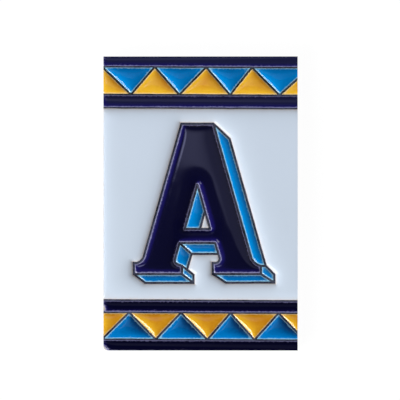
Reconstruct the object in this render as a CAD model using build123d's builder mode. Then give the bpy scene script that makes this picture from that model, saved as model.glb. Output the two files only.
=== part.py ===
"""Glazed earthenware letter tile: a shaded capital A on a white panel between zigzag borders.

The drawing is made of bare resist lines on the face of a pressed tile. Each cell that the lines
leave is filled with glaze, which stands above them as a pool with rounded edges.

The tile lies on its back. +Z leaves the glazed face, +Y runs to the top of the letter, +X to its
right, and the origin is at the middle of the back. All sizes are in millimetres.
"""

import os
from itertools import cycle

from build123d import *

# Pressed body
tile_width = 73.0
tile_height = 110.5
body_thickness = 6.1
worn_corner_radius = 1.8
back_bevel = 0.6

# Keying grooves pressed into the back
groove_width = 4.2
groove_land = 4.2
groove_depth = 0.8
groove_side_margin = 4.5
groove_end_margin = 6.0

# Glaze pools, and the bare lines between them
glaze_rise = 0.9
pool_edge_radius = 0.35
pool_edge_share = 0.8
border_line = 0.6
zigzag_line = 0.8
letter_line = 0.85

# Border bands, from the tile's edges inwards, and how far they droop from left to right
top_outer_bar = 4.0
top_zigzag_band = 10.4
top_inner_bar = 5.0
bottom_outer_bar = 4.05
bottom_zigzag_band = 10.1
bottom_inner_bar = 4.65
band_droop = 0.37

# Zigzags: the first turn lies past the left edge, and the hand-drawn runs between turns follow
top_zigzag_start = 0.55
bottom_zigzag_start = 0.5
top_zigzag_steps = (10.9, 8.95, 9.25, 10.1, 9.0, 8.2, 10.4, 11.4)
bottom_zigzag_steps = (10.2, 10.0, 9.45, 9.95, 8.7, 9.0, 9.05, 10.0)

# Letter: its clear space in the panel, then widths about its axis and heights above its foot
letter_axis = -1.15
letter_top_margin = 5.85
letter_foot_margin = 9.9
apex_width = 12.0
stroke_lean = 0.284
crossbar_height = 11.7
crossbar_thickness = 5.3
counter_height = 16.65
leg_gap_width = 13.4
serif_overhang = 3.05
serif_height = 4.2
serif_tip_height = 3.05
left_bracket_radius = 3.2
right_bracket_radius = 4.6
inner_bracket_radius = 1.5

# Shade of the letter: the slide across and down from each edge to the far side of its facet
stroke_shade_across = 6.1
stroke_shade_down = 5.7
inner_shade_across = 4.5
inner_shade_down = 4.1
left_foot_shade_across = 4.3
left_foot_shade_down = 3.3
right_foot_shade_across = 5.0
right_foot_shade_down = 3.2

os.makedirs("parts", exist_ok=True)

half_width = tile_width / 2
half_height = tile_height / 2


def drooped(x, level):
    """Point on a border line whose height at the middle of the tile is level."""
    return Vector(x, level - band_droop * x / tile_width)


def zigzag_turns(first_level, second_level, start, steps):
    """Turns of a zigzag that starts at first_level left of the tile and runs past its right edge."""
    x = -half_width - start
    turns = [drooped(x - steps[-1], second_level)]
    for step, level in zip(cycle(steps), cycle((first_level, second_level))):
        turns.append(drooped(x, level))
        if x > half_width:
            return turns
        x += step


def zigzag_lines(outer, inner, start, steps):
    """Sketch of a zigzag, trimmed to the band between its two border lines."""
    with BuildSketch() as zigzag:
        with BuildLine():
            Polyline(zigzag_turns(outer, inner, start, steps))
        trace(line_width=zigzag_line)
        with BuildLine():
            Polyline(
                drooped(-tile_width, outer),
                drooped(tile_width, outer),
                drooped(tile_width, inner),
                drooped(-tile_width, inner),
                close=True,
            )
        make_face(mode=Mode.INTERSECT)
    return zigzag.sketch


def leaning_edge(side, y, half_top, top):
    """Point at height y on an edge that leans out to a side (-1 left, 1 right) below its top."""
    return Vector(letter_axis + side * (half_top + stroke_lean * (top - y)), y)


def crossing(start, run, other_start, other_run):
    """Point where the line from start along run crosses the other line."""
    share = (other_start - start).cross(other_run).Z / run.cross(other_run).Z
    return start + run * share


# Heights of the border lines at the middle of the tile, from the outermost inwards
top_levels = (
    half_height - top_outer_bar,
    half_height - top_outer_bar - top_zigzag_band,
    half_height - top_outer_bar - top_zigzag_band - top_inner_bar,
)
bottom_levels = (
    bottom_outer_bar - half_height,
    bottom_outer_bar + bottom_zigzag_band - half_height,
    bottom_outer_bar + bottom_zigzag_band + bottom_inner_bar - half_height,
)

# Heights of the letter
letter_top = top_levels[-1] - letter_top_margin
letter_foot = bottom_levels[-1] + letter_foot_margin
crossbar_bottom = letter_foot + crossbar_height
crossbar_top = crossbar_bottom + crossbar_thickness
counter_apex = crossbar_top + counter_height
serif_root = letter_foot + serif_height
serif_tip = letter_foot + serif_tip_height

# Strokes and legs, where they end at the top, at the crossbar and at the serifs
half_apex = apex_width / 2
half_gap = leg_gap_width / 2
apex_left = leaning_edge(-1, letter_top, half_apex, letter_top)
apex_right = leaning_edge(1, letter_top, half_apex, letter_top)
gap_left = leaning_edge(-1, crossbar_bottom, half_gap, crossbar_bottom)
gap_right = leaning_edge(1, crossbar_bottom, half_gap, crossbar_bottom)
left_leg_outer = leaning_edge(-1, serif_root, half_apex, letter_top)
left_leg_inner = leaning_edge(-1, serif_root, half_gap, crossbar_bottom)
right_leg_inner = leaning_edge(1, serif_root, half_gap, crossbar_bottom)
right_leg_outer = leaning_edge(1, serif_root, half_apex, letter_top)

# Feet, each with a square end on its left and a lower tip on its right
left_foot_start = left_leg_outer.X - serif_overhang
left_foot_end = left_leg_inner.X + serif_overhang
right_foot_start = right_leg_inner.X - serif_overhang
right_foot_end = right_leg_outer.X + serif_overhang
left_heel = Vector(left_foot_start, letter_foot)
left_toe = Vector(left_foot_end, letter_foot)
left_tip = Vector(left_foot_end, serif_tip)
right_heel = Vector(right_foot_start, letter_foot)
right_toe = Vector(right_foot_end, letter_foot)
right_tip = Vector(right_foot_end, serif_tip)
inner_bracket = min(inner_bracket_radius, serif_overhang / 2)

# Each corner of the letter, clockwise, with the radius of its bracket, or 0 where it is sharp
letter_corners = (
    (apex_left, 0),
    (apex_right, 0),
    (right_leg_outer, right_bracket_radius),
    (right_tip, 0),
    (right_toe, 0),
    (right_heel, 0),
    (Vector(right_foot_start, serif_root), 0),
    (right_leg_inner, inner_bracket),
    (gap_right, 0),
    (gap_left, 0),
    (left_leg_inner, inner_bracket),
    (left_tip, 0),
    (left_toe, 0),
    (left_heel, 0),
    (Vector(left_foot_start, serif_root), 0),
    (left_leg_outer, left_bracket_radius),
)

# Slides that carry an edge of the letter to the far side of its shade
stroke_shade = Vector(stroke_shade_across, -stroke_shade_down)
inner_shade = Vector(inner_shade_across, -inner_shade_down)
left_foot_shade = Vector(left_foot_shade_across, -left_foot_shade_down)
right_foot_shade = Vector(right_foot_shade_across, -right_foot_shade_down)
left_lean = Vector(-stroke_lean, -1)
right_lean = Vector(stroke_lean, -1)
level_run = Vector(1, 0)

# Counter, with the far side of the shade inside it
counter_top = Vector(letter_axis, counter_apex)
counter_left = leaning_edge(-1, crossbar_top, 0, counter_apex)
counter_right = leaning_edge(1, crossbar_top, 0, counter_apex)
counter_shade = counter_top + inner_shade
counter_shade_top = crossing(counter_shade, left_lean, counter_top, right_lean)
counter_shade_foot = crossing(counter_shade, left_lean, counter_left, level_run)

# Far sides of the shade of the right stroke and of the gap between the legs
stroke_shade_top = apex_right + stroke_shade
stroke_shade_foot = crossing(stroke_shade_top, right_lean, right_tip, level_run)
gap_shade = gap_left + inner_shade
gap_shade_right = crossing(gap_shade, level_run, gap_right, right_lean)
gap_shade_foot = crossing(gap_shade, left_lean, left_tip, left_foot_shade)

shade_lines = (
    (counter_shade_top, counter_shade_foot),
    (
        apex_right,
        stroke_shade_top,
        stroke_shade_foot,
        right_tip + right_foot_shade,
        right_toe + right_foot_shade,
        right_heel + right_foot_shade,
        right_heel,
    ),
    (right_tip, stroke_shade_foot),
    (right_toe, right_toe + right_foot_shade),
    (
        left_tip,
        left_tip + left_foot_shade,
        left_toe + left_foot_shade,
        left_heel + left_foot_shade,
        left_heel,
    ),
    (left_toe, left_toe + left_foot_shade),
    (gap_left, gap_shade),
    (gap_shade_right, gap_shade, gap_shade_foot),
)

top_zigzag = zigzag_lines(*top_levels[:2], top_zigzag_start, top_zigzag_steps)
bottom_zigzag = zigzag_lines(*bottom_levels[:2], bottom_zigzag_start, bottom_zigzag_steps)

with BuildSketch() as letter_face:
    with BuildLine():
        corners, radii = zip(*letter_corners)
        FilletPolyline(corners, radius=radii, close=True)
    make_face()
    with BuildLine():
        Polyline(counter_top, counter_right, counter_left, close=True)
    make_face(mode=Mode.SUBTRACT)

with BuildSketch() as resist_lines:
    offset(letter_face.sketch, letter_line / 2, kind=Kind.INTERSECTION, mode=Mode.ADD)
    for points in shade_lines:
        with BuildLine():
            Polyline(points)
        trace(line_width=letter_line)
    offset(letter_face.sketch, -letter_line / 2, mode=Mode.SUBTRACT)
    for level in top_levels + bottom_levels:
        with BuildLine():
            Line(drooped(-tile_width, level), drooped(tile_width, level))
        trace(line_width=border_line)
    add(top_zigzag)
    add(bottom_zigzag)

with BuildSketch() as outline:
    Rectangle(tile_width, tile_height)
    low_left_corner = outline.vertices().sort_by(Axis.X).sort_by(Axis.Y)[0]
    fillet(low_left_corner, radius=worn_corner_radius)

# An even number of grooves leaves a land down the middle
groove_pitch = groove_width + groove_land
groove_room = tile_width - 2 * groove_side_margin + groove_land
groove_count = 2 * int(groove_room / groove_pitch / 2)

with BuildPart() as letter_tile:
    add(outline.sketch)
    extrude(amount=body_thickness)
    chamfer(letter_tile.edges().group_by(Axis.Z)[0], length=back_bevel)

    with BuildSketch():
        with GridLocations(groove_pitch, 0, groove_count, 1):
            SlotOverall(tile_height - 2 * groove_end_margin, groove_width, rotation=90)
    extrude(amount=groove_depth, mode=Mode.SUBTRACT)

    with BuildSketch(Plane.XY.offset(body_thickness)):
        add(outline.sketch)
        add(resist_lines.sketch, mode=Mode.SUBTRACT)
    extrude(amount=glaze_rise)
    pool_rims = letter_tile.edges().group_by(Axis.Z)[-1]
    fillet(pool_rims, radius=min(pool_edge_radius, pool_edge_share * glaze_rise))

letter_tile.part.label = "letter_tile"
export_step(letter_tile.part, "parts/letter_tile.step")
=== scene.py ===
"""Glazed letter tile, dressed for its portrait.

The drawing is read from the solid in the frame: each raised cell of its face is a pool of glaze, and
what lies between the pools is bare resist line. The face is meshed afresh, and each pool takes the
shape of a melt that froze: held down at its edge, steep at the rim and nearly level in the middle.
Lengths are in millimetres until a mesh, a lamp or the camera is made, and those are in metres.
"""

from __future__ import annotations

import logging
import math
from dataclasses import dataclass, field, replace
from enum import Enum
from typing import Any, ClassVar, Iterable, Sequence, Union

import bpy
import numpy as np
from mathutils import Color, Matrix, Vector, kdtree, noise
from mathutils.geometry import delaunay_2d_cdt


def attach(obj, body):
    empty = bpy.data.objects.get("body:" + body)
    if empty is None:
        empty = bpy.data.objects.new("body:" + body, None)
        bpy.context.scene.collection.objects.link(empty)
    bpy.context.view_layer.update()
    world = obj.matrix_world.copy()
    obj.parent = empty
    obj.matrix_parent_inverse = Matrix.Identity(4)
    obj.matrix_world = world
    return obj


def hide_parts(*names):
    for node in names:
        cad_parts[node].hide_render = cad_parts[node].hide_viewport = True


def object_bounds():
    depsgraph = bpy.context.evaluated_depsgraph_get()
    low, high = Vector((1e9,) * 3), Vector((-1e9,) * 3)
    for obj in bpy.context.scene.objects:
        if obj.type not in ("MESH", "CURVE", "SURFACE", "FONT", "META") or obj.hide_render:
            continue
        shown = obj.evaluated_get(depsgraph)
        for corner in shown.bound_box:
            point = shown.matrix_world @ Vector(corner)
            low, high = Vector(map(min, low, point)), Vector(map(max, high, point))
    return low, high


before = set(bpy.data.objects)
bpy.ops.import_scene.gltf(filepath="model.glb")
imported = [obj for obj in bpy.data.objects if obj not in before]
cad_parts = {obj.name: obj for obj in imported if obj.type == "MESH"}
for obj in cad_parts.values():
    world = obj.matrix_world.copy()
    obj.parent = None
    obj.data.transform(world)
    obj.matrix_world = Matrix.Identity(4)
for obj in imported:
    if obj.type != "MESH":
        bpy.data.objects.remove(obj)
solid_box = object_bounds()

log = logging.getLogger("letter_tile")

MM = 0.001
SCREEN_FULL = 255
NODE = "letter_tile"
BODY = "root"
MAP_NAME = "OFBake"
RIM_ATTRIBUTE = "glaze_rim"
DEPTH_ATTRIBUTE = "glaze_depth"
# Share of painted light and shade: positive on slopes facing away from the light, negative on those
# facing it
SHADED_SIDE_ATTRIBUTE = "painted_shaded_side"
POLISH_ATTRIBUTE = "glaze_polish"

Colour = tuple[float, float, float]
Span = tuple[float, float]
Operand = Union["Wire", float]


class Zone(Enum):
    """What covers a face of the tile. The value is the number of its material slot."""

    WHITE = 0
    NAVY = 1
    TOP_NAVY = 2
    HEAVY_NAVY = 3
    BLUE = 4
    GLINT_BLUE = 5
    HEAVY_BLUE = 6
    YELLOW = 7
    HEAVY_YELLOW = 8
    LINE = 9
    DARK_LINE = 10
    BISCUIT = 11

    @property
    def glazed(self) -> bool:
        """Whether it is a glaze."""
        return self not in (Zone.LINE, Zone.DARK_LINE, Zone.BISCUIT)


def screen(red: int, green: int, blue: int) -> Colour:
    """Scene colour of a screen colour given as three numbers from 0 to 255."""
    shares = (red / SCREEN_FULL, green / SCREEN_FULL, blue / SCREEN_FULL)
    return tuple(Color(shares).from_srgb_to_scene_linear())


class Wire:
    """A shader socket in a Python expression. Each operator adds one Math node."""

    def __init__(self, shader: Shader, socket: bpy.types.NodeSocket) -> None:
        """Wraps a socket of a shader's tree."""
        self.shader = shader
        self.socket = socket

    def maths(self, operation: str, *operands: Operand) -> Wire:
        """Adds a Math node.

        Args:
            operation: Blender's name of the operation.
            operands: sockets or numbers, in order.

        Returns:
            The node's result.
        """
        return self.shader.node("ShaderNodeMath", {"operation": operation}, dict(enumerate(operands)))

    def __add__(self, other: Operand) -> Wire:
        """This plus other."""
        return self.maths("ADD", self, other)

    def __radd__(self, other: Operand) -> Wire:
        """Other plus this."""
        return self.maths("ADD", other, self)

    def __sub__(self, other: Operand) -> Wire:
        """This minus other."""
        return self.maths("SUBTRACT", self, other)

    def __rsub__(self, other: Operand) -> Wire:
        """Other minus this."""
        return self.maths("SUBTRACT", other, self)

    def __mul__(self, other: Operand) -> Wire:
        """This times other."""
        return self.maths("MULTIPLY", self, other)

    def __rmul__(self, other: Operand) -> Wire:
        """Other times this."""
        return self.maths("MULTIPLY", other, self)

    def __truediv__(self, other: Operand) -> Wire:
        """This divided by other."""
        return self.maths("DIVIDE", self, other)

    def __rtruediv__(self, other: Operand) -> Wire:
        """Other divided by this."""
        return self.maths("DIVIDE", other, self)

    def __pow__(self, other: Operand) -> Wire:
        """This to the power of other."""
        return self.maths("POWER", self, other)

    def __rpow__(self, other: Operand) -> Wire:
        """Other to the power of this."""
        return self.maths("POWER", other, self)

    def at_least(self, other: Operand) -> Wire:
        """This or other, whichever is more."""
        return self.maths("MAXIMUM", self, other)

    def step(self, span: Span) -> Wire:
        """A smooth step of this value, 0 up to the span's start and 1 from its end on."""
        settings = {"interpolation_type": "SMOOTHSTEP"}
        inputs = {"Value": self, "From Min": span[0], "From Max": span[1]}
        return self.shader.node("ShaderNodeMapRange", settings, inputs)


class Shader:
    """The nodes of a material or a world, added by expressions."""

    # Sockets of a Mix node that mixes colours, which share their names with its others
    MIX_SHARE = 0
    MIX_FIRST = 6
    MIX_SECOND = 7
    MIX_RESULT = 2

    def __init__(self, owner: bpy.types.Material | bpy.types.World) -> None:
        """Clears the nodes of a material or a world."""
        owner.use_nodes = True
        self.owner = owner
        self.tree = owner.node_tree
        self.tree.nodes.clear()

    @classmethod
    def material(cls, name: str) -> Shader:
        """Nodes for a new material."""
        return cls(bpy.data.materials.new(name))

    def node(
        self,
        kind: str,
        settings: dict[str, Any] | None = None,
        inputs: dict[int | str, Any] | None = None,
        output: int | str = 0,
    ) -> Wire:
        """Adds any node.

        Args:
            kind: the node's type.
            settings: its own settings, which are set first.
            inputs: values or links of its sockets, by name or number.
            output: the output that is wanted, by name or number.

        Returns:
            The wanted output.
        """
        made = self.tree.nodes.new(kind)
        for name, value in (settings or {}).items():
            setattr(made, name, value)
        for name, value in (inputs or {}).items():
            self.feed(made.inputs[name], value)
        return Wire(self, made.outputs[output])

    def feed(self, socket: bpy.types.NodeSocket, value: Any) -> None:
        """Links a wire to a socket, or sets the socket to a number or a colour."""
        if isinstance(value, Wire):
            self.tree.links.new(value.socket, socket)
        elif socket.type == "RGBA":
            socket.default_value = (*value, 1.0)
        else:
            socket.default_value = value

    def mixed(self, share: Operand, first: Any, second: Any) -> Wire:
        """A colour between the first, where share is 0, and the second, where it is 1."""
        inputs = {self.MIX_SHARE: share, self.MIX_FIRST: first, self.MIX_SECOND: second}
        return self.node("ShaderNodeMix", {"data_type": "RGBA"}, inputs, self.MIX_RESULT)

    def attribute(self, name: str) -> Wire:
        """A number that is stored at the mesh's points."""
        return self.node("ShaderNodeAttribute", {"attribute_name": name}, output="Fac")

    def grain(self, size: float, detail: float = 2.0) -> Wire:
        """Noise from 0 to 1 in the piece's own space.

        Args:
            size: length of a lump, in millimetres.
            detail: octaves of finer noise.

        Returns:
            The noise.
        """
        place = self.node("ShaderNodeTexCoord", output="Object")
        inputs = {"Vector": place, "Scale": 1.0 / (size * MM), "Detail": detail}
        return self.node("ShaderNodeTexNoise", inputs=inputs)

    def bump(self, height: Wire, depth: float) -> Wire:
        """A normal bent by a height from 0 to 1 that stands for a depth in millimetres."""
        return self.node("ShaderNodeBump", inputs={"Height": height, "Distance": depth * MM})

    def close(self, surface: Wire) -> bpy.types.Material | bpy.types.World:
        """Ends the tree with a surface and returns what has the nodes."""
        kind = "World" if isinstance(self.owner, bpy.types.World) else "Material"
        end = self.tree.nodes.new("ShaderNodeOutput" + kind)
        self.tree.links.new(surface.socket, end.inputs["Surface"])
        return self.owner


@dataclass(frozen=True)
class GlazeFinish:
    """A glossy glaze, pale at its rim, where it is thin, and deep where it has pooled; painted shade
    deepens it on slopes facing away from the light, painted light pales it on those facing it.

    Attributes:
        name: the material's name.
        thin: colour of the rim.
        shallow: colour of a thin coat.
        deep: colour of a thick coat.
        load: how thick the coat is all over, from 0 for shallow to 1 for deep.
        by_depth: how much thicker it is in the middle of a pool.
        by_shaded_side: how much painted shade deepens it on slopes facing away from the light, and
            painted light pales it on those facing it.
        uneven: how much its thickness changes from place to place.
        wave: depth of the ripples in it.
        shine: strength of its reflections, where 0.5 is that of plain glass.
        gloss: strength of a clear coat's reflections, which fade where the polish does.
    """

    name: str
    thin: Colour
    shallow: Colour
    deep: Colour
    load: float = 0.0
    by_depth: float = 1.0
    by_shaded_side: float = 0.0
    uneven: float = 0.2
    wave: float = 0.008
    shine: float = 0.5
    gloss: float = 0.0

    GRAIN_MIDDLE: ClassVar[float] = 0.5
    FLOW_SIZE: ClassVar[float] = 7.0
    MOTTLE_SIZE: ClassVar[float] = 0.9
    MOTTLE_DETAIL: ClassVar[float] = 3.0
    RIPPLE_SIZE: ClassVar[float] = 2.2
    RIM_SPAN: ClassVar[Span] = (0.2, 0.8)
    RIM_MOTTLE: ClassVar[float] = 0.9
    COAT_SPAN: ClassVar[Span] = (0.0, 1.0)
    COAT_MOTTLE: ClassVar[float] = 0.2
    ROUGHNESS: ClassVar[float] = 0.05
    ROUGHNESS_MOTTLE: ClassVar[float] = 0.05
    REFRACTION: ClassVar[float] = 1.52

    def material(self) -> bpy.types.Material:
        """Makes the glaze's material."""
        shader = Shader.material(self.name)
        rim = shader.attribute(RIM_ATTRIBUTE)
        depth = shader.attribute(DEPTH_ATTRIBUTE)
        shaded_side = shader.attribute(SHADED_SIDE_ATTRIBUTE)
        flow = shader.grain(self.FLOW_SIZE) - self.GRAIN_MIDDLE
        mottle = shader.grain(self.MOTTLE_SIZE, self.MOTTLE_DETAIL) - self.GRAIN_MIDDLE
        # Painted light and shade: the shaded-side share deepens the colour on slopes facing away from
        # the light and pales it on those facing it
        coat = depth * self.by_depth + shaded_side * self.by_shaded_side + self.load
        pooled = (coat + flow * self.uneven + mottle * self.COAT_MOTTLE).step(self.COAT_SPAN)
        covered = (rim + mottle * self.RIM_MOTTLE).step(self.RIM_SPAN)
        body = shader.mixed(pooled, self.shallow, self.deep)
        inputs = {
            "Base Color": shader.mixed(covered, self.thin, body),
            "Roughness": mottle * self.ROUGHNESS_MOTTLE + self.ROUGHNESS,
            "Normal": shader.bump(shader.grain(self.RIPPLE_SIZE), self.wave),
            "IOR": self.REFRACTION,
            "Specular IOR Level": self.shine,
        }
        if self.gloss:
            inputs["Coat Weight"] = shader.attribute(POLISH_ATTRIBUTE) * self.gloss
            inputs["Coat Roughness"] = self.ROUGHNESS
            inputs["Coat IOR"] = self.REFRACTION
        return shader.close(shader.node("ShaderNodeBsdfPrincipled", inputs=inputs))


@dataclass(frozen=True)
class MattFinish:
    """A dry surface with fine grit and soft clouds: burnt resist, or chalky fired clay.

    Attributes:
        name: the material's name.
        low: colour where the grit and the clouds are low.
        high: colour where they are high.
        grit: size of the grit, in millimetres.
        cloud: size of the clouds.
        relief: depth of the grit.
        roughness: how dull it is, up to 1.
        shine: strength of its reflections, where 0.5 is that of plain glass.
    """

    name: str
    low: Colour
    high: Colour
    grit: float
    cloud: float
    relief: float
    roughness: float
    shine: float = 0.2

    GRIT_DETAIL: ClassVar[float] = 3.0
    GRIT_SHARE: ClassVar[float] = 0.55
    TONE_SPAN: ClassVar[Span] = (0.3, 0.7)

    def material(self) -> bpy.types.Material:
        """Makes the surface's material."""
        shader = Shader.material(self.name)
        grit = shader.grain(self.grit, self.GRIT_DETAIL)
        cloud = shader.grain(self.cloud)
        tone = (grit * self.GRIT_SHARE + cloud * (1.0 - self.GRIT_SHARE)).step(self.TONE_SPAN)
        inputs = {
            "Base Color": shader.mixed(tone, self.low, self.high),
            "Roughness": self.roughness,
            "Normal": shader.bump(grit, self.relief),
            "Specular IOR Level": self.shine,
        }
        return shader.close(shader.node("ShaderNodeBsdfPrincipled", inputs=inputs))


BLUE_GLAZE = GlazeFinish(
    "blue_glaze",
    thin=screen(140, 190, 214), shallow=screen(0, 130, 202), deep=screen(0, 82, 142),
    load=0.3, by_depth=0.2, by_shaded_side=0.65, shine=0.17,
)

RESIST_LINE = MattFinish(
    "resist_line",
    low=screen(14, 18, 30), high=screen(72, 75, 92),
    grit=0.7, cloud=4.0, relief=0.06, roughness=0.72,
)

FINISHES = {
    # The white's grey-brown thin and shallow colours darken it towards the lines: partly the clay under
    # thin glaze, partly painted shade where the pool dips to the lines
    Zone.WHITE: GlazeFinish(
        "white_glaze",
        thin=screen(200, 193, 190), shallow=screen(198, 203, 210), deep=screen(204, 215, 226),
        by_depth=1.4, shine=0.15,
    ),
    Zone.NAVY: GlazeFinish(
        "navy_glaze",
        thin=screen(130, 128, 166), shallow=screen(22, 18, 80), deep=screen(9, 9, 38),
        load=0.1, by_depth=1.85, by_shaded_side=1.4, wave=0.0003, shine=0.06, gloss=0.88,
    ),
    # Greyer than the letter's navy: a painted reflection of the pale opening overhead on the top bars
    Zone.TOP_NAVY: GlazeFinish(
        "top_navy_painted_sheen",
        thin=screen(110, 109, 150), shallow=screen(18, 14, 82), deep=screen(26, 27, 57),
        load=0.25, by_depth=1.9, by_shaded_side=1.0, wave=0.0003, shine=0.2,
    ),
    # Darker copies of the navy, blue and yellow for the pools low on the tile, which is darker towards
    # the bottom
    Zone.HEAVY_NAVY: GlazeFinish(
        "lower_navy_glaze",
        thin=screen(120, 118, 158), shallow=screen(22, 16, 84), deep=screen(5, 5, 31),
        load=0.5, by_depth=1.9, by_shaded_side=0.8, wave=0.0003, shine=0.09,
    ),
    Zone.BLUE: BLUE_GLAZE,
    Zone.GLINT_BLUE: replace(BLUE_GLAZE, name="glint_blue_glaze", load=0.4, shine=0.4),
    Zone.HEAVY_BLUE: GlazeFinish(
        "lower_blue_glaze",
        thin=screen(140, 190, 216), shallow=screen(0, 124, 198), deep=screen(0, 46, 94),
        load=0.38, by_depth=0.3, by_shaded_side=0.8, shine=0.15,
    ),
    Zone.YELLOW: GlazeFinish(
        "yellow_glaze",
        thin=screen(230, 196, 128), shallow=screen(231, 178, 44), deep=screen(208, 122, 27),
        load=0.2, by_depth=0.3, by_shaded_side=0.6, uneven=0.7, shine=0.3,
    ),
    Zone.HEAVY_YELLOW: GlazeFinish(
        "lower_yellow_glaze",
        thin=screen(228, 192, 128), shallow=screen(222, 169, 35), deep=screen(193, 104, 12),
        load=0.3, by_depth=0.2, by_shaded_side=0.6, uneven=0.7, shine=0.38,
    ),
    Zone.LINE: RESIST_LINE,
    Zone.DARK_LINE: replace(
        RESIST_LINE, name="dark_line", low=screen(6, 9, 14), high=screen(58, 62, 68)
    ),
    Zone.BISCUIT: MattFinish(
        "biscuit",
        low=screen(190, 182, 172), high=screen(166, 155, 142),
        grit=0.35, cloud=9.0, relief=0.08, roughness=0.88,
    ),
}


def patches(faces: np.ndarray) -> list[np.ndarray]:
    """Groups faces that share an edge.

    Args:
        faces: three point numbers for each face.

    Returns:
        The faces of each group.
    """
    group = list(range(len(faces)))
    seen: dict[tuple[int, int], int] = {}

    def root(number: int) -> int:
        """The face that stands for a face's group."""
        while group[number] != number:
            number = group[number]
        return number

    for number, face in enumerate(faces):
        for start, end in zip(face, np.roll(face, -1)):
            edge = (min(start, end), max(start, end))
            group[root(number)] = root(seen.setdefault(edge, number))
    roots = np.array([root(number) for number in range(len(faces))])
    return [faces[roots == one] for one in np.unique(roots)]


def rim_loops(faces: np.ndarray) -> list[list[int]]:
    """Closed loops of the edges that only one face has.

    Args:
        faces: three point numbers for each face.

    Returns:
        Point numbers along each loop, with the faces on its left.
    """
    edges = {(start, end) for face in faces for start, end in zip(face, np.roll(face, -1))}
    onward = {start: end for start, end in sorted(edges) if (end, start) not in edges}
    loops = []
    while onward:
        start, point = onward.popitem()
        loop = [start]
        while point != start:
            loop.append(point)
            point = onward.pop(point)
        loops.append(loop)
    return loops


def turns(first: np.ndarray, second: np.ndarray) -> np.ndarray:
    """Cross products of vectors in the plane."""
    return first[..., 0] * second[..., 1] - first[..., 1] * second[..., 0]


def area_in(loop: np.ndarray) -> float:
    """Area inside a loop, which is negative where the loop runs clockwise."""
    return float(turns(loop, np.roll(loop, -1, axis=0)).sum() / 2)


def sampled(loop: np.ndarray, spacing: float) -> np.ndarray:
    """Points along a closed loop, its corners among them, at most spacing apart."""
    runs = []
    for start, end in zip(loop, np.roll(loop, -1, axis=0)):
        count = max(1, math.ceil(np.linalg.norm(end - start) / spacing))
        runs.append(start + (end - start) * np.arange(count)[:, None] / count)
    return np.concatenate(runs)


def drawn_in(loop: np.ndarray, distance: float) -> np.ndarray:
    """A loop squeezed to its middle until each side of its box has moved by a distance."""
    low, high = loop.min(axis=0), loop.max(axis=0)
    middle = (low + high) / 2
    return middle + (loop - middle) * (1 - 2 * distance / (high - low))


def finder(points: np.ndarray) -> kdtree.KDTree:
    """A tree that finds the nearest of some points in the plane."""
    tree = kdtree.KDTree(len(points))
    for number, point in enumerate(points):
        tree.insert((*point, 0.0), number)
    tree.balance()
    return tree


# The triangulation's way of keeping to the insides of its loops
FILL_LOOPS = 1


def triangulated(
    loops: Sequence[np.ndarray], loose: np.ndarray, tolerance: float = 1e-4, sliver: float = 1e-6
) -> tuple[np.ndarray, np.ndarray, list[list[int]]]:
    """Covers the insides of some loops with triangles.

    Args:
        loops: closed loops, whose edges the triangles keep.
        loose: further points that the triangles use.
        tolerance: distance at which points are one.
        sliver: area up to which a triangle is left out, as one beside a straight stretch of a loop.

    Returns:
        The points, three point numbers for each triangle, and the loops that hold each triangle.
    """
    turned = [loop if area_in(loop) > 0 else loop[::-1] for loop in loops]
    ends = np.cumsum([len(loop) for loop in turned])
    rings = [list(range(end - len(loop), end)) for loop, end in zip(turned, ends)]
    given = [Vector(point) for point in np.concatenate([*turned, loose])]
    places, _, corners, _, _, holders = delaunay_2d_cdt(given, [], rings, FILL_LOOPS, tolerance, True)
    points, triangles = np.array([tuple(place) for place in places]), np.array(corners)
    first, second, third = points[triangles].transpose(1, 0, 2)
    wide = np.abs(turns(second - first, third - first)) / 2 > sliver
    return points, triangles[wide], [held for held, kept in zip(holders, wide) if kept]


@dataclass(eq=False)
class Pool:
    """One cell of glaze.

    Attributes:
        outer: the loop round it.
        holes: the loops of the holes in it.
        zone: what fills it.
    """

    outer: np.ndarray
    holes: list[np.ndarray]
    zone: Zone = Zone.BLUE

    @property
    def area(self) -> float:
        """Area inside the outer loop."""
        return abs(area_in(self.outer))

    @property
    def low(self) -> np.ndarray:
        """Lowest corner."""
        return self.outer.min(axis=0)

    @property
    def high(self) -> np.ndarray:
        """Highest corner."""
        return self.outer.max(axis=0)

    @property
    def centre(self) -> np.ndarray:
        """Centre of the area inside the outer loop."""
        following = np.roll(self.outer, -1, axis=0)
        parts = turns(self.outer, following)
        return ((self.outer + following) * parts[:, None]).sum(axis=0) / (3 * parts.sum())


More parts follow.
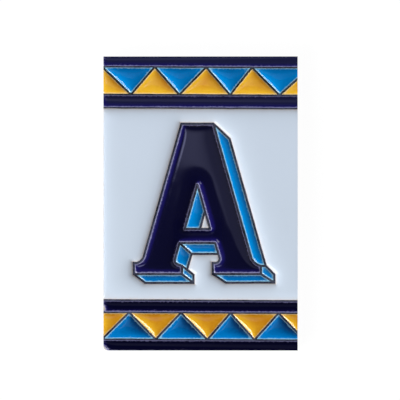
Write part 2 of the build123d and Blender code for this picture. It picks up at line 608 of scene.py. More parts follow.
class Drawing:
    """The tile's outline, pools and grooves, read from the solid.

    Attributes:
        points: the solid's points, each once.
        faces: three point numbers for each of its triangles.
        line_level: height of the bare lines.
        rise: height of the pools above the lines.
        outline: loop round the tile.
        bevel: height of the bevel round the back.
        grooves: loops of the back's grooves.
        groove_depth: how deep they are.
        pools: the cells of glaze.
        dark_span: lowest and highest level of the zigzag whose lines are dark.
        dull: lowest and highest corner of each space in which the letter has lost its polish.
    """

    LEVEL_SLACK = 0.02
    LEVEL_UP = 0.9
    LEAN_UP = 0.02
    BAR_SHARE = 0.9
    CROSSBAR_REACH = 2.0
    CROSSBAR_DROP = 5.5
    APEX_REACH = 0.9
    STEPS_PER_MM = 1000

    def __init__(self, solid: bpy.types.Object) -> None:
        """Reads the drawing from the frame's solid."""
        self.points, self.faces = self.welded(solid.data)
        heights = self.points[:, 2]
        sides = np.diff(self.points[self.faces], axis=1)
        normals = np.cross(sides[:, 0], sides[:, 1])
        up = normals[:, 2] / np.maximum(np.linalg.norm(normals, axis=1), np.finfo(float).tiny)
        lowest = heights[self.faces].min(axis=1)
        highest = heights[self.faces].max(axis=1)
        level = highest - lowest < self.LEVEL_SLACK
        self.line_level = float(highest[level & (up > self.LEVEL_UP)].min())
        self.rise = float(heights.max()) - self.line_level
        raised = self.faces[lowest > self.line_level + self.LEVEL_SLACK]
        self.pools = [self.pool(patch) for patch in patches(raised)]
        self.dark_span = self.name_zones()
        under = level & (up < -self.LEVEL_UP)
        floors = self.faces[under & (lowest > self.LEVEL_SLACK)]
        self.groove_depth = float(heights[floors].max())
        self.grooves = self.flat_loops(self.faces[under & (highest < self.LEVEL_SLACK)])[1:]
        leaning = (up < -self.LEAN_UP) & (up > -self.LEVEL_UP)
        bevel = self.faces[leaning & (highest < self.line_level)]
        self.outline = self.flat_loops(bevel)[0]
        self.bevel = float(heights[bevel].max())

    @classmethod
    def welded(cls, mesh: bpy.types.Mesh) -> tuple[np.ndarray, np.ndarray]:
        """Points of a mesh in millimetres, each once, and its triangles.

        Args:
            mesh: a mesh whose points may be split along its edges.

        Returns:
            The points, and three point numbers for each triangle that has an area.
        """
        places = np.zeros(len(mesh.vertices) * 3, np.float32)
        mesh.vertices.foreach_get("co", places)
        steps = np.round(places.reshape(-1, 3) / MM * cls.STEPS_PER_MM).astype(np.int64)
        points, numbers = np.unique(steps, axis=0, return_inverse=True)
        mesh.calc_loop_triangles()
        corners = np.zeros(len(mesh.loop_triangles) * 3, np.int32)
        mesh.loop_triangles.foreach_get("vertices", corners)
        faces = numbers.reshape(-1)[corners].reshape(-1, 3)
        whole = (faces != np.roll(faces, 1, axis=1)).all(axis=1)
        return points / cls.STEPS_PER_MM, faces[whole]

    def flat_loops(self, faces: np.ndarray) -> list[np.ndarray]:
        """Rim loops of some faces as seen from above, the largest first."""
        loops = [self.points[loop][:, :2] for loop in rim_loops(faces)]
        return sorted(loops, key=lambda loop: -abs(area_in(loop)))

    def pool(self, faces: np.ndarray) -> Pool:
        """The pool that has some faces."""
        outer, *holes = self.flat_loops(faces)
        return Pool(outer, holes)

    def name_zones(self) -> Span:
        """Says which glaze fills each pool, from its place in the drawing.

        Returns:
            The lowest and highest level of the upper zigzag.
        """
        by_area = sorted(self.pools, key=lambda pool: -pool.area)
        panel, letter = [pool for pool in by_area if pool.holes][:2]
        panel.zone, letter.zone = Zone.WHITE, Zone.NAVY
        counter = letter.holes[0]
        low, high = counter.min(axis=0), counter.max(axis=0)
        inside = [pool for pool in by_area if (pool.low > low).all() and (pool.high < high).all()]
        inside[-1].zone = Zone.WHITE
        self.dull = self.dull_spaces(counter)
        # Pools low on the tile take darker copies of the glazes, so the tile is darker towards the
        # bottom
        for pool in by_area:
            if pool.high[1] < low[1]:
                pool.zone = Zone.GLINT_BLUE
            if pool.high[1] < letter.low[1]:
                pool.zone = Zone.HEAVY_BLUE
        above = [pool for pool in by_area if pool.low[1] > panel.high[1]]
        below = [pool for pool in by_area if pool.high[1] < panel.low[1]]
        self.name_border(below, Zone.HEAVY_NAVY, Zone.HEAVY_BLUE, Zone.HEAVY_YELLOW)
        # The top bars take the greyer navy, a painted reflection
        return self.name_border(above, Zone.TOP_NAVY, Zone.BLUE, Zone.YELLOW)

    def dull_spaces(self, counter: np.ndarray) -> list[tuple[np.ndarray, np.ndarray]]:
        """Lowest and highest corner of the spaces round the crossbar and the counter's apex."""
        low, high = counter.min(axis=0), counter.max(axis=0)
        under = low - (self.CROSSBAR_REACH, self.CROSSBAR_DROP)
        over = np.array([high[0], low[1]]) + self.CROSSBAR_REACH
        apex = counter[counter[:, 1].argmax()]
        return [(under, over), (apex - self.APEX_REACH, apex + self.APEX_REACH)]

    def name_border(self, border: list[Pool], bar: Zone, outward: Zone, inward: Zone) -> Span:
        """Says which glaze fills each pool of a border.

        Args:
            border: the border's pools.
            bar: what fills its bars.
            outward: what fills the cells with their long side to the tile's edge.
            inward: what fills those with their long side to the panel.

        Returns:
            The lowest and highest level of its zigzag.
        """
        widths = [float(pool.high[0] - pool.low[0]) for pool in border]
        cells = []
        for pool, width in zip(border, widths):
            if width > self.BAR_SHARE * max(widths):
                pool.zone = bar
            else:
                cells.append(pool)
        low, high = min(cell.low[1] for cell in cells), max(cell.high[1] for cell in cells)
        for cell in cells:
            nearer = abs(cell.centre[1]) < abs(low + high) / 2
            cell.zone = inward if nearer else outward
        return low, high

    def refined(self, zone: Zone, place: np.ndarray) -> Zone:
        """What covers a place, with the dark lines told from the rest."""
        dark = self.dark_span[0] < place[1] < self.dark_span[1]
        return Zone.DARK_LINE if zone is Zone.LINE and dark else zone


@dataclass(frozen=True)
class MapLayout:
    """How the tile's surface lies flat on its texture map, whose sides are 1 long.

    The face has a column of its own. The next one has the back, at half the scale, and over it the
    sides, cut into strips that run up the map.

    Attributes:
        low: the tile's lowest corner seen from above, in millimetres.
        high: its highest corner.
        thickness: how thick the tile is.
        back_scale: scale of the back, and of the strips along the edge, beside the face's.
        margin: free space between the parts.
        strips: number of strips that the sides are cut into.
    """

    low: np.ndarray
    high: np.ndarray
    thickness: float
    back_scale: float = 0.5
    margin: float = 0.005
    strips: int = 4

    @property
    def scale(self) -> float:
        """Length on the map of a millimetre of the face."""
        return (1 - 2 * self.margin) / float(self.high[1] - self.low[1])

    @property
    def column(self) -> float:
        """Where the column with the back and the sides starts."""
        return 2 * self.margin + self.scale * float(self.high[0] - self.low[0])

    def face(self, points: np.ndarray) -> np.ndarray:
        """Places of points of the face, seen from above."""
        return (points - self.low) * self.scale + self.margin

    def back(self, points: np.ndarray) -> np.ndarray:
        """Places of points of the back, seen from above."""
        return (points - self.low) * self.scale * self.back_scale + (self.column, self.margin)

    def band(self, runs: np.ndarray, above: np.ndarray, below: np.ndarray) -> np.ndarray:
        """Places of a band of faces round the sides.

        Args:
            runs: distance of each point along the edge, and at the end the edge's whole length.
            above: height of the band's upper points.
            below: height of its lower points.

        Returns:
            The places of each face's corners: upper and lower start, lower and upper end.
        """
        length = runs[-1] / self.strips
        strip = np.floor(runs[:-1] / length)
        starts, ends = runs[:-1] - strip * length, runs[1:] - strip * length
        levels = np.column_stack([above, below, np.roll(below, -1), np.roll(above, -1)])
        across = levels * self.scale + strip[:, None] * (self.thickness * self.scale + self.margin)
        along = np.column_stack([starts, starts, ends, ends]) * self.scale * self.back_scale
        return np.stack([across + self.column, along + self.back_scale + self.margin], axis=-1)


@dataclass
class Meniscus:
    """Shape of a melt that its edge holds down, as a share of its full height.

    The share u solves length^2 * laplacian(u) = u - 1, with u given along the edge.

    Attributes:
        points: places on the face.
        triangles: triangles of the pools.
        starts: first point of each pull between two points.
        ends: its second point.
        pulls: how strong it is.
        areas: area that each point stands for.
    """

    points: np.ndarray
    triangles: np.ndarray
    starts: np.ndarray = field(init=False)
    ends: np.ndarray = field(init=False)
    pulls: np.ndarray = field(init=False)
    areas: np.ndarray = field(init=False)

    SLIVER: ClassVar[float] = 1e-9
    TINY: ClassVar[float] = 1e-12

    def __post_init__(self) -> None:
        """Works out the pulls between points and the areas that they stand for."""
        starts, ends, pulls = [], [], []
        for corner in range(3):
            here, first, second = (self.triangles[:, (corner + turn) % 3] for turn in range(3))
            one, other = self.points[first] - self.points[here], self.points[second] - self.points[here]
            double = np.maximum(np.abs(turns(one, other)), self.SLIVER)
            starts.append(first)
            ends.append(second)
            pulls.append(0.5 * (one * other).sum(axis=1) / double)
        self.starts, self.ends = np.concatenate(starts), np.concatenate(ends)
        self.pulls = np.concatenate(pulls)
        self.areas = self.gathered(double / 2)

    def gathered(self, values: np.ndarray) -> np.ndarray:
        """Sum at each point of a third of its triangles' values."""
        thirds = np.repeat(values / 3, 3)
        return np.bincount(self.triangles.ravel(), thirds, minlength=len(self.points))

    def slopes(self, heights: np.ndarray) -> np.ndarray:
        """Slope of some heights at each point, across and along."""
        first, second, third = self.points[self.triangles].transpose(1, 0, 2)
        one, other = second - first, third - first
        low, middle, high = heights[self.triangles].T
        double = turns(one, other)
        across = ((middle - low) * other[:, 1] - (high - low) * one[:, 1]) / double
        along = ((high - low) * one[:, 0] - (middle - low) * other[:, 0]) / double
        sums = [self.gathered(part * np.abs(double) / 2) for part in (across, along)]
        return np.column_stack(sums) / np.maximum(self.areas, self.TINY)[:, None]

    def pulled(self, heights: np.ndarray, weight: np.ndarray, held: np.ndarray) -> np.ndarray:
        """The equation's left side for some heights, or 0 where they are held."""
        flow = self.pulls * (heights[self.starts] - heights[self.ends])
        count = len(heights)
        out = np.bincount(self.starts, flow, count) - np.bincount(self.ends, flow, count)
        return np.where(held, 0.0, out + weight * heights)

    def share(
        self, length: float, held: np.ndarray, edge: np.ndarray, steps: int = 600, close: float = 1e-9
    ) -> np.ndarray:
        """Solves for the shape by conjugate gradients.

        Args:
            length: how far from the edge the melt levels out.
            held: where the share is given.
            edge: the given shares.
            steps: most steps to take.
            close: residual at which it is done.

        Returns:
            The share of the full height at each point.
        """
        weight = self.areas / length**2
        count = len(weight)
        diagonal = weight + np.bincount(self.starts, self.pulls, count)
        diagonal += np.bincount(self.ends, self.pulls, count)
        diagonal = np.where(diagonal > self.TINY, diagonal, 1.0)
        heights = np.where(held, edge, 0.0)
        rest = np.where(held, 0.0, weight) - self.pulled(heights, weight, held)
        way = rest / diagonal
        gain = rest @ way
        for _ in range(steps):
            bent = self.pulled(way, weight, held)
            stride = gain / max(way @ bent, np.finfo(float).tiny)
            heights += stride * way
            rest -= stride * bent
            if np.abs(rest).max() < close:
                break
            eased = rest / diagonal
            gain, before = rest @ eased, gain
            way = eased + way * (gain / before)
        return heights


class Shell:
    """Points and faces of one closed mesh, gathered part by part.

    Attributes:
        points: places, in millimetres.
        faces: point numbers round each face.
        zones: what covers each face.
        places: where the faces' corners lie on the texture map.
        attributes: values at the first points, by name.
    """

    def __init__(self) -> None:
        """Starts with nothing."""
        self.points = np.empty((0, 3))
        self.faces: list[list[int]] = []
        self.zones: list[Zone] = []
        self.places: list[np.ndarray] = []
        self.attributes: dict[str, np.ndarray] = {}

    def add_points(self, places: np.ndarray, heights: np.ndarray) -> np.ndarray:
        """Adds points by their places seen from above and their heights, and returns their numbers."""
        count = len(self.points)
        self.points = np.concatenate([self.points, np.column_stack([places, heights])])
        return np.arange(count, len(self.points))

    def add_faces(
        self, faces: Iterable[Sequence[int]], zones: Iterable[Zone], places: np.ndarray
    ) -> None:
        """Adds faces, what covers each, and where its corners lie on the texture map."""
        self.faces.extend([int(number) for number in face] for face in faces)
        self.zones.extend(zones)
        self.places.append(places.reshape(-1, 2))

    def mesh(self, name: str) -> bpy.types.Mesh:
        """Makes the mesh, in metres, with each face in its material slot."""
        made = bpy.data.meshes.new(name)
        made.from_pydata(self.points * MM, [], self.faces)
        made.polygons.foreach_set("material_index", [zone.value for zone in self.zones])
        made.polygons.foreach_set("use_smooth", [True] * len(self.faces))
        spread = np.concatenate(self.places).astype(np.float32)
        made.uv_layers.new(name=MAP_NAME).uv.foreach_set("vector", spread.ravel())
        for attribute, values in self.attributes.items():
            padded = np.zeros(len(self.points), np.float32)
            padded[: len(values)] = values
            made.attributes.new(attribute, "FLOAT", "POINT").data.foreach_set("value", padded)
        return made


@dataclass(frozen=True)
class Chip:
    """A place at the tile's edge where the glaze is missing.

    Attributes:
        corners: loop round it on the face, which may run past the edge.
    """

    corners: tuple[tuple[float, float], ...]


@dataclass
class GlazedFace:
    """The front of the tile: pools of glaze between bare lines.

    Attributes:
        drawing: what the solid shows.
        layout: where the face lies on the texture map.
        chips: places where the glaze is missing.
        rim_length: how far from the edge the steep rim levels out.
        broad_length: how far from the edge the pool as a whole levels out.
        rim_part: part of the height that the rim has.
        run: the way across and along the face that points away from the lamp; pool slopes facing that
            way are painted darker, those facing back paler.
        left_share: share of the height left at the tile's left edge.
        right_share: share of the height left at its right edge.
        spacing: distance between points along the lines.
        rows: distances from the lines of the first rows of points.
        row_gap: least share of that distance that a point keeps from every line.
        mesh_size: distance between points inside the pools.
        mesh_gap: share of it that those points keep from the last row.
        line_step: distance between the points that stand for the lines when gaps are measured.
        edge_slack: distance from the tile's edge within which a pool runs along it.
        overshoot: scale that carries such a pool past the edge.
        wander: how far the hand-drawn lines stray.
        wander_size: length of a stray.
        wander_fade: distance from the tile's edge over which the straying sets in.
        dull_fade: distance from the dull spaces over which the polish sets in.
    """

    drawing: Drawing
    layout: MapLayout
    chips: tuple[Chip, ...]
    rim_length: float = 0.35
    broad_length: float = 2.1
    rim_part: float = 0.15
    # Painted light and shade: the way away from the lamp, along which pool slopes are painted darker
    run: tuple[float, float] = (0.9, 0.44)
    left_share: float = 0.4
    right_share: float = 1.0
    spacing: float = 0.42
    rows: tuple[float, ...] = (0.07, 0.17, 0.32, 0.54)
    row_gap: float = 0.9
    mesh_size: float = 0.55
    mesh_gap: float = 0.6
    line_step: float = 0.1
    edge_slack: float = 0.05
    overshoot: float = 1.03
    wander: float = 0.05
    wander_size: float = 4.0
    wander_fade: float = 1.5
    dull_fade: float = 4.0

    NOISE_LEVEL: ClassVar[float] = 3.7
    NOISE_SEED: ClassVar[int] = 5

    def build(self, shell: Shell) -> tuple[np.ndarray, list[Zone]]:
        """Adds the face to the shell.

        Args:
            shell: the mesh that is being gathered.

        Returns:
            Point numbers along the tile's edge, and what covers the face from each to the next.
        """
        points, triangles, covers = self.covered()
        edge_loop = np.array(max(rim_loops(triangles), key=len))
        glazed = np.array([cover.glazed for cover in covers])
        rim, depth, shaded_side = self.shares(points, triangles, glazed, edge_loop)
        share = self.rim_part * rim + (1 - self.rim_part) * depth
        placed = self.strayed(points)
        numbers = shell.add_points(placed, self.drawing.line_level + self.drawing.rise * share)
        shell.add_faces(numbers[triangles], covers, self.layout.face(placed)[triangles])
        shell.attributes = {
            RIM_ATTRIBUTE: rim,
            DEPTH_ATTRIBUTE: depth,
            SHADED_SIDE_ATTRIBUTE: shaded_side,
            POLISH_ATTRIBUTE: self.polish(points),
        }
        log.info("face: %d points, %d triangles", len(points), len(triangles))
        cover_of = {
            (start, end): cover
            for triangle, cover in zip(triangles, covers)
            for start, end in zip(triangle, np.roll(triangle, -1))
        }
        edge_zones = [cover_of[pair] for pair in zip(edge_loop, np.roll(edge_loop, -1))]
        return numbers[edge_loop], edge_zones

    def covered(self) -> tuple[np.ndarray, np.ndarray, list[Zone]]:
        """Covers the face with triangles.

        Returns:
            The points, three point numbers for each triangle, and what covers each.
        """
        loops, zones = self.loops()
        points, triangles, holders = triangulated(loops, self.loose_points())
        on_tile = [number for number, held in enumerate(holders) if 0 in held]
        areas = [abs(area_in(loop)) for loop in loops]
        covers = [zones[min(holders[number], key=areas.__getitem__)] for number in on_tile]
        used, renumbered = np.unique(triangles[on_tile], return_inverse=True)
        points, triangles = points[used], renumbered.reshape(-1, 3)
        centres = points[triangles].mean(axis=1)
        return points, triangles, [self.drawing.refined(*pair) for pair in zip(covers, centres)]

    def loops(self) -> tuple[list[np.ndarray], list[Zone]]:
        """Every loop of the drawing, the tile's outline first, and what it holds."""
        loops = [sampled(self.drawing.outline, self.spacing)]
        zones = [Zone.LINE]
        for pool in self.drawing.pools:
            loops.append(self.past_edge(sampled(pool.outer, self.spacing)))
            zones.append(pool.zone)
            for hole in pool.holes:
                loops.append(sampled(hole, self.spacing))
                zones.append(Zone.LINE)
        for chip in self.chips:
            loops.append(sampled(np.array(chip.corners), self.spacing))
            zones.append(Zone.BISCUIT)
        return loops, zones

    def edge_gap(self, points: np.ndarray) -> np.ndarray:
        """Distance of points inside the tile from its outline."""
        starts = self.drawing.outline
        runs = np.roll(starts, -1, axis=0) - starts
        offsets = points[:, None, :] - starts
        along = np.clip((offsets * runs).sum(axis=2) / (runs**2).sum(axis=1), 0, 1)
        return np.linalg.norm(offsets - along[:, :, None] * runs, axis=2).min(axis=1)

    def past_edge(self, loop: np.ndarray) -> np.ndarray:
        """A pool's loop, carried past the tile's edge where it runs along it."""
        on_edge = self.edge_gap(loop) < self.edge_slack
        if not on_edge.any():
            return loop
        turn = int(np.argmin(on_edge))
        loop, on_edge = np.roll(loop, -turn, axis=0), np.roll(on_edge, -turn)
        out: list[np.ndarray] = []
        for number, point in enumerate(loop):
            if not on_edge[number]:
                out.append(point)
                continue
            if not on_edge[number - 1]:
                out.append(point)
            out.append(point * self.overshoot)
            if not on_edge[(number + 1) % len(loop)]:
                out.append(point)
        return np.array(out)

    def loose_points(self) -> np.ndarray:
        """Rows of points beside the lines, and an even spread of points inside the pools."""
        borders = [loop for pool in self.drawing.pools for loop in (pool.outer, *pool.holes)]
        lines = finder(np.concatenate([sampled(loop, self.line_step) for loop in borders]))
        found = []
        for loop in borders:
            dense = sampled(loop, self.spacing)
            runs = np.roll(dense, -1, axis=0) - dense
            inward = np.column_stack([-runs[:, 1], runs[:, 0]]) / np.linalg.norm(runs, axis=1)[:, None]
            for row in self.rows:
                found.extend((point, self.row_gap * row) for point in dense + runs / 2 + inward * row)
        low, high = self.drawing.outline.min(axis=0), self.drawing.outline.max(axis=0)
        step = np.array([self.mesh_size, self.mesh_size * math.sqrt(3) / 2])
        columns, levels = np.meshgrid(*(np.arange(*ends) for ends in zip(low, high, step)))
        columns[1::2] += self.mesh_size / 2
        gap = self.rows[-1] + self.mesh_gap * self.mesh_size
        grid = np.column_stack([columns.ravel(), levels.ravel()])
        found.extend((point, gap) for point in grid[self.edge_gap(grid) > gap])
        return np.array([point for point, least in found if lines.find((*point, 0.0))[2] > least])

    def shares(
        self, points: np.ndarray, triangles: np.ndarray, glazed: np.ndarray, edge_loop: np.ndarray
    ) -> tuple[np.ndarray, np.ndarray, np.ndarray]:
        """Shares of the full height that the rim and the broad pool reach at each point, and its share
        of painted light and shade.

        Args:
            points: places on the face.
            triangles: three point numbers for each triangle.
            glazed: which triangles are glazed.
            edge_loop: points along the tile's edge.

        Returns:
            The rim's share, the broad pool's, and how far the point's slope faces away from the
            light, the share of painted light and shade.
        """
        bare = np.ones(len(points), bool)
        bare[triangles[glazed]] = False
        bare[triangles[~glazed]] = True
        held = bare.copy()
        held[edge_loop] = True
        across = (points[:, 0] - points[:, 0].min()) / np.ptp(points[:, 0])
        worn = self.left_share + (self.right_share - self.left_share) * across
        meniscus = Meniscus(points, triangles[glazed])
        rim, depth = (
            meniscus.share(length, held, worn * meniscus.share(length, bare, np.zeros(len(points))))
            for length in (self.rim_length, self.broad_length)
        )
        # Painted light and shade: positive on slopes facing away from the light, negative on those
        # facing it
        shaded_side = -self.broad_length * meniscus.slopes(depth) @ np.array(self.run)
        return rim, depth, shaded_side

    def polish(self, points: np.ndarray) -> np.ndarray:
        """How polished the glaze is at each point, from 0 in the dull spaces to 1."""
        beyond = [np.maximum(low - points, points - high) for low, high in self.drawing.dull]
        gaps = [np.linalg.norm(np.maximum(gap, 0), axis=1) for gap in beyond]
        share = np.clip(np.min(gaps, axis=0) / self.dull_fade, 0, 1)
        return share**2 * (3 - 2 * share)

    def strayed(self, points: np.ndarray) -> np.ndarray:
        """The points, shifted by a gentle wander that dies out at the tile's edge."""
        noise.seed_set(self.NOISE_SEED)
        fade = np.clip(self.edge_gap(points) / self.wander_fade, 0, 1)
        spots = np.column_stack([points / self.wander_size, np.full(len(points), self.NOISE_LEVEL)])
        shifts = np.array([tuple(noise.noise_vector(spot).xy) for spot in spots])
        return points + self.wander * fade[:, None] * shifts


@dataclass
class BiscuitBody:
    """The sides and the back of the tile.

    Attributes:
        drawing: what the solid shows.
        layout: where the sides and the back lie on the texture map.
        spill: how far the glaze runs down the sides.
        spill_change: how much that changes along the edge.
        spill_size: length of a run.
        recess: how far the bare clay stands back under the glaze.
        rows: number of rows of faces down the bare side.
        weld: distance at which points are one.
    """

    drawing: Drawing
    layout: MapLayout
    spill: float = 0.75
    spill_change: float = 0.55
    spill_size: float = 3.0
    recess: float = 0.06
    rows: int = 4
    weld: float = 1e-3

    NOISE_LEVEL: ClassVar[float] = 1.3

    def build(self, shell: Shell, edge: np.ndarray, edge_zones: list[Zone]) -> None:
        """Adds the sides and the back below the face's edge.

        Args:
            shell: the mesh that is being gathered, with the face in it.
            edge: point numbers along the face's edge.
            edge_zones: what covers the face at each stretch of the edge.
        """
        flat, top = shell.points[edge][:, :2], shell.points[edge][:, 2]
        steps = np.linalg.norm(np.roll(flat, -1, axis=0) - flat, axis=1)
        runs = np.concatenate([[0.0], np.cumsum(steps)])
        waves = np.array([noise.noise((*spot, self.NOISE_LEVEL)) for spot in flat / self.spill_size])
        lip = top - self.spill - self.spill_change * waves
        inner = drawn_in(flat, self.recess)
        foot = drawn_in(flat, self.drawing.bevel)
        under_lip = lip - self.recess
        glaze = [zone if zone.glazed else Zone.BISCUIT for zone in edge_zones]
        clay = [Zone.BISCUIT] * len(edge)
        levels = [(flat, lip, glaze), (inner, under_lip, clay)]
        for row in range(1, self.rows + 1):
            level = under_lip + (self.drawing.bevel - under_lip) * row / self.rows
            levels.append((inner, level, clay))
        levels.append((foot, np.zeros(len(foot)), clay))
        above, above_level = edge, top
        for places, level, zones in levels:
            below = shell.add_points(places, level)
            self.band(shell, above, below, zones, self.layout.band(runs, above_level, level))
            above, above_level = below, level
        log.info("sides: %d bands of %d faces", len(levels), len(edge))
        self.add_back(shell, below, foot)

    @staticmethod
    def band(
        shell: Shell, above: np.ndarray, below: np.ndarray, zones: list[Zone], places: np.ndarray
    ) -> None:
        """Adds a band of faces between two closed rows of points."""
        faces = np.column_stack([above, below, np.roll(below, -1), np.roll(above, -1)])
        shell.add_faces(faces, zones, places)

    def add_back(self, shell: Shell, rim: np.ndarray, foot: np.ndarray) -> None:
        """Adds the back with its grooves.

        Args:
            shell: the mesh that is being gathered.
            rim: point numbers round the back.
            foot: their places.
        """
        points, triangles, holders = triangulated([foot, *self.drawing.grooves], np.empty((0, 2)))
        grooved = np.array([len(held) > 1 for held in holders])
        in_groove = np.unique(triangles[grooved])
        land, floor = np.full(len(points), -1), np.full(len(points), -1)
        round_foot = finder(foot)
        for number, place in enumerate(points):
            _, nearest, gap = round_foot.find((*place, 0.0))
            if gap < self.weld:
                land[number] = rim[nearest]
        depth = np.full(len(in_groove), self.drawing.groove_depth)
        land[in_groove] = shell.add_points(points[in_groove], np.zeros(len(in_groove)))
        floor[in_groove] = shell.add_points(points[in_groove], depth)
        rings = [np.array(loop) for loop in rim_loops(triangles[grooved])]
        narrowed = self.narrowed(points, rings)
        on_land, on_floor = triangles[~grooved][:, ::-1], triangles[grooved][:, ::-1]
        for numbers, faces, places in ((land, on_land, points), (floor, on_floor, narrowed)):
            clay = [Zone.BISCUIT] * len(faces)
            shell.add_faces(numbers[faces], clay, self.layout.back(places[faces]))
        for ring in rings:
            after = np.roll(ring, -1)
            spread = np.stack([points[ring], narrowed[ring], narrowed[after], points[after]], axis=1)
            clay = [Zone.BISCUIT] * len(ring)
            self.band(shell, land[ring], floor[ring], clay, self.layout.back(spread))
        log.info("back: %d grooves", len(rings))

    def narrowed(self, points: np.ndarray, rings: list[np.ndarray]) -> np.ndarray:
        """The points with each groove's floor drawn in, which leaves room on the map for its walls."""
        out = points.copy()
        for ring in rings:
            out[ring] = drawn_in(points[ring], self.drawing.groove_depth)
        return out


@dataclass
class LetterTile:
    """The tile as one closed mesh in its glazes.

    Attributes:
        solid: the frame's solid, which it stands for.
        name: the piece's name.
        chips: places where the glaze is missing.
        crease: angle from which an edge is sharp.
    """

    solid: bpy.types.Object
    name: str = "glazed_letter_tile"
    chips: tuple[Chip, ...] = (
        Chip(((-37.2, -38.0), (-36.1, -38.7), (-35.8, -39.6), (-36.0, -40.2), (-37.2, -40.5))),
        Chip(
            (
                (-37.2, -52.3),
                (-36.3, -53.5),
                (-35.9, -54.3),
                (-35.2, -55.0),
                (-33.8, -56.0),
                (-37.2, -56.0),
            )
        ),
    )
    crease: float = math.radians(50)

    def build(self) -> bpy.types.Object:
        """Builds, dresses and places the tile."""
        drawing = Drawing(self.solid)
        log.info("drawing: %d pools, %d grooves", len(drawing.pools), len(drawing.grooves))
        outline = drawing.outline
        thickness = drawing.line_level + drawing.rise
        layout = MapLayout(outline.min(axis=0), outline.max(axis=0), thickness)
        shell = Shell()
        edge, edge_zones = GlazedFace(drawing, layout, self.chips).build(shell)
        BiscuitBody(drawing, layout).build(shell, edge, edge_zones)
        mesh = shell.mesh(self.name)
        mesh.set_sharp_from_angle(angle=self.crease)
        self.dress(mesh)
        mesh.validate()
        piece = bpy.data.objects.new(self.name, mesh)
        bpy.context.scene.collection.objects.link(piece)
        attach(piece, BODY)
        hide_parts(NODE)
        log.info("%s: %d faces", piece.name, len(mesh.polygons))
        return piece

    @staticmethod
    def dress(mesh: bpy.types.Mesh) -> None:
        """Gives the mesh the finish of each zone, in the order of the zones."""
        for zone in Zone:
            mesh.materials.append(FINISHES[zone].material())


class LampUse(Enum):
    """What a lamp is for: to light surfaces without being mirrored, or to be mirrored alone."""

    LIGHT = "light"
    GLEAM = "gleam"


@dataclass(frozen=True)
class SoftLamp:
    """A soft square lamp aimed at the tile.

    Attributes:
        name: the lamp's name.
        use: what it is for.
        place: where it hangs, in metres.
        size: its side.
        power: its power, in watts.
        tint: its colour.
    """

    name: str
    use: LampUse
    place: tuple[float, float, float]
    size: float
    power: float
    tint: Colour = (1.0, 1.0, 1.0)

    def build(self) -> bpy.types.Object:
        """Makes the lamp."""
        data = bpy.data.lights.new(self.name, "AREA")
        data.shape = "SQUARE"
        data.size = self.size
        data.energy = self.power
        data.color = self.tint
        lamp = bpy.data.objects.new(self.name, data)
        lamp.location = self.place
        lamp.rotation_euler = (-Vector(self.place)).to_track_quat("-Z", "Y").to_euler()
        lamp.visible_diffuse = self.use is LampUse.LIGHT
        lamp.visible_glossy = self.use is LampUse.GLEAM
        bpy.context.scene.collection.objects.link(lamp)
        return lamp


@dataclass(frozen=True)
class Room:
    """What the glaze mirrors: walls, and a dark ceiling with a pale opening that a dark form cuts into.

    Directions in the ceiling are slopes: how far they run across or along the tile for each metre up.

    Attributes:
        bright_wall: colour of the walls on the left.
        dark_wall: colour of the walls on the right.
        ceiling: colour of the ceiling.
        opening: colour of the opening at its left side.
        wall_turn: where the walls go from bright to dark, from left to right.
        wall_skew: how much that also goes by the way up the tile.
        eaves: heights between which the walls give way to the ceiling.
        sill: slopes along the tile at which the opening starts.
        head: slopes along the tile over which it fades out.
        left: slopes across the tile at which its left side is.
        jamb: slopes across the tile over which the glow of that side fades.
        jamb_loss: share of the light that is lost there.
        right: slopes across the tile over which it dims to the right.
        right_loss: share of the light that is lost there.
        bow: how far the sill is lifted at a slope of 1 to the left.
        bow_power: power of the slope by which it is lifted.
    """

    bright_wall: Colour = (0.80, 0.83, 0.87)
    dark_wall: Colour = (0.32, 0.29, 0.26)
    ceiling: Colour = (0.03, 0.03, 0.04)
    opening: Colour = (2.64, 2.75, 4.4)
    wall_turn: Span = (-0.7, 0.7)
    wall_skew: float = 0.3
    eaves: Span = (0.72, 0.84)
    sill: Span = (0.0, 0.006)
    head: Span = (0.14, 0.36)
    left: Span = (-0.30, -0.21)
    jamb: Span = (-0.205, -0.165)
    jamb_loss: float = 0.75
    right: Span = (-0.03, 0.12)
    right_loss: float = 0.6
    bow: float = 0.29
    bow_power: float = 0.94

    def build(self) -> bpy.types.World:
        """Makes the room."""
        shader = Shader(bpy.data.worlds.new("room"))
        way = shader.node("ShaderNodeTexCoord", output="Generated")
        across, along, up = (
            shader.node("ShaderNodeSeparateXYZ", inputs={0: way}, output=axis) for axis in "XYZ"
        )
        side = (across + along * self.wall_skew).step(self.wall_turn)
        walls = shader.mixed(side, self.bright_wall, self.dark_wall)
        overhead = up.step(self.eaves)
        room = shader.mixed(overhead, walls, self.ceiling)
        beside, ahead = across / up, along / up
        lift = (0.0 - beside).at_least(0.0) ** self.bow_power * self.bow
        opening = overhead * (ahead - lift).step(self.sill) * (1.0 - ahead.step(self.head))
        opening = opening * beside.step(self.left) * (1.0 - beside.step(self.jamb) * self.jamb_loss)
        opening = opening * (1.0 - beside.step(self.right) * self.right_loss)
        glow = shader.mixed(opening, room, self.opening)
        world = shader.close(shader.node("ShaderNodeBackground", inputs={"Color": glow}))
        bpy.context.scene.world = world
        return world


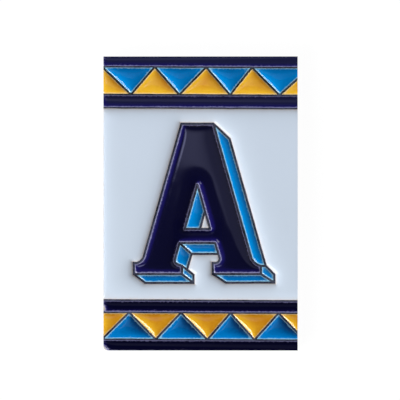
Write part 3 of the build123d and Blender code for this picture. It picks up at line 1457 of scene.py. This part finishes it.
@dataclass
class Studio:
    """Floor, lamps, room and the camera that looks straight down on the tile.

    Attributes:
        box: the solid's lowest and highest corner, in metres.
        image_side: side of the picture, in pixels.
        tile_pixels: height of the tile in the picture.
        tile_middle: middle of the tile in the picture.
        lens: focal length, in millimetres.
        floor_side: side of the floor, in metres.
        floor_colour: colour that the floor has in the tile's light.
        floor_share: how much of its picture is plain white, the rest being its shade.
        floor_glow: strength of the white.
        lamps: the lamps.
        room: what the glaze mirrors.
    """

    box: tuple[Vector, Vector]
    image_side: float = 400.0
    tile_pixels: float = 294.17
    tile_middle: tuple[float, float] = (200.5, 203.465)
    lens: float = 200.0
    floor_side: float = 6.0
    floor_colour: Colour = (0.9, 0.9, 0.9)
    floor_share: float = 0.94
    floor_glow: float = 1.03
    lamps: tuple[SoftLamp, ...] = (
        SoftLamp("key", LampUse.LIGHT, (-1.95, -1.15, 1.03), 1.9, 106.0, (0.96, 0.98, 1.0)),
        SoftLamp("gleam", LampUse.GLEAM, (-0.64, -0.64, 1.32), 0.42, 11.0),
    )
    room: Room = Room()

    def build(self) -> None:
        """Makes everything round the tile."""
        self.add_floor()
        self.room.build()
        for lamp in self.lamps:
            lamp.build()
        self.add_camera()
        bpy.context.scene.view_settings.view_transform = "Standard"
        log.info("studio: %d lamps", len(self.lamps))

    def add_floor(self) -> None:
        """A white floor that keeps a faint shadow."""
        half = self.floor_side / 2
        corners = [(-half, -half, 0), (half, -half, 0), (half, half, 0), (-half, half, 0)]
        mesh = bpy.data.meshes.new("floor")
        mesh.from_pydata(corners, [], [(0, 1, 2, 3)])
        shader = Shader.material("floor")
        camera, glossy, through = (
            shader.node("ShaderNodeLightPath", output=name)
            for name in ("Is Camera Ray", "Is Glossy Ray", "Is Transmission Ray")
        )
        seen = (camera + glossy + through) * self.floor_share
        matt = shader.node("ShaderNodeBsdfDiffuse", inputs={"Color": self.floor_colour})
        glow = shader.node("ShaderNodeEmission", inputs={"Strength": self.floor_glow})
        surface = shader.node("ShaderNodeMixShader", inputs={0: seen, 1: matt, 2: glow})
        mesh.materials.append(shader.close(surface))
        floor = bpy.data.objects.new("floor", mesh)
        bpy.context.scene.collection.objects.link(floor)

    def add_camera(self) -> None:
        """A long lens straight above, framed as the picture is."""
        low, high = self.box
        scale = (high.y - low.y) / self.tile_pixels
        middle = (low + high) / 2
        right = (self.image_side / 2 - self.tile_middle[0]) * scale
        up = (self.tile_middle[1] - self.image_side / 2) * scale
        data = bpy.data.cameras.new("camera")
        data.lens = self.lens
        distance = self.image_side * scale * data.lens / data.sensor_width
        camera = bpy.data.objects.new("camera", data)
        camera.location = (middle.x + right, middle.y + up, high.z + distance)
        bpy.context.scene.collection.objects.link(camera)
        bpy.context.scene.camera = camera


def main() -> None:
    """Builds the tile and its studio."""
    logging.basicConfig(level=logging.INFO, format="%(name)s %(message)s")
    LetterTile(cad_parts[NODE]).build()
    Studio(solid_box).build()


if __name__ == "__main__":
    main()
